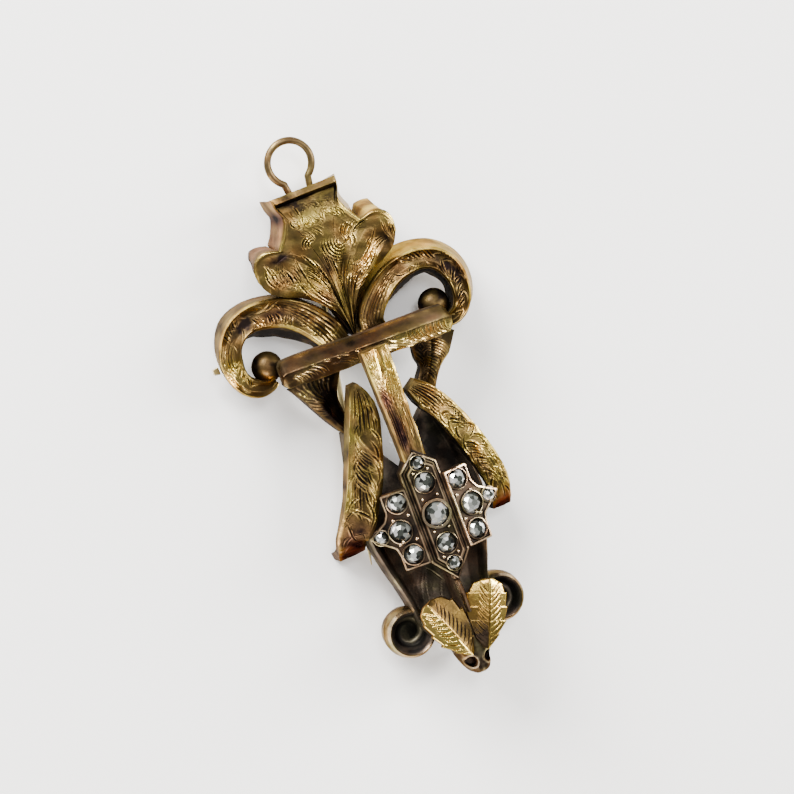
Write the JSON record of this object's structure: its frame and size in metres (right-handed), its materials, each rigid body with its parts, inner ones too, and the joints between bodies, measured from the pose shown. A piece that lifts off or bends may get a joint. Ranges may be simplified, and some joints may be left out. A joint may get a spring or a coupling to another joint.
{
  "type": "pendant brooch",
  "caption": "Antique gold pendant brooch with a palmette crest, two C-scrolls, engraved straps, rose-cut diamond plates and two serrated leaves.",
  "frame": {"origin": "centre of the box around the brooch in plan, at the plane it rests on", "axes": "+Y from the tip to the bail, +Z out of the front, +X to the viewer's right; it lies on its back"},
  "size_m": [0.0222, 0.0454, 0.0096],
  "materials": {
    "yellow_gold": "engraved antique yellow gold with brown tarnish in its recesses",
    "brown_gold": "smooth worn gold with brown tarnish",
    "dark_gold": "oxidised near-black gold",
    "copper_gold": "dark rose gold with lighter worn rims",
    "leaf_gold": "bright yellow gold",
    "brass": "plain worn gold",
    "diamond": "rose-cut diamond over a closed foil back"
  },
  "bodies": {
    "root": {"bail_ring": "brown_gold", "body": "dark_gold", "brooch_pin": "brass", "centre_bar": "yellow_gold", "crest": "yellow_gold", "crossbar": "brown_gold", "keel": "copper_gold", "leaf_left": "leaf_gold", "leaf_right": "leaf_gold", "loop_left": "yellow_gold", "loop_right": "yellow_gold", "pin_catch": "brass", "scroll_left": "yellow_gold", "scroll_right": "yellow_gold", "setting_centre": "copper_gold", "side_lug": "brass", "stone_centre_1": "diamond", "stone_centre_2": "diamond", "stone_centre_3": "diamond", "stone_centre_4": "diamond", "stone_centre_5": "diamond", "stone_left_1": "diamond", "stone_left_2": "diamond", "stone_left_3": "diamond", "stone_left_4": "diamond", "stone_right_1": "diamond", "stone_right_2": "diamond", "stone_right_3": "diamond", "stone_right_4": "diamond", "tip_boss": "copper_gold", "wing_left": "copper_gold", "wing_right": "copper_gold"}
  },
  "joints": []
}
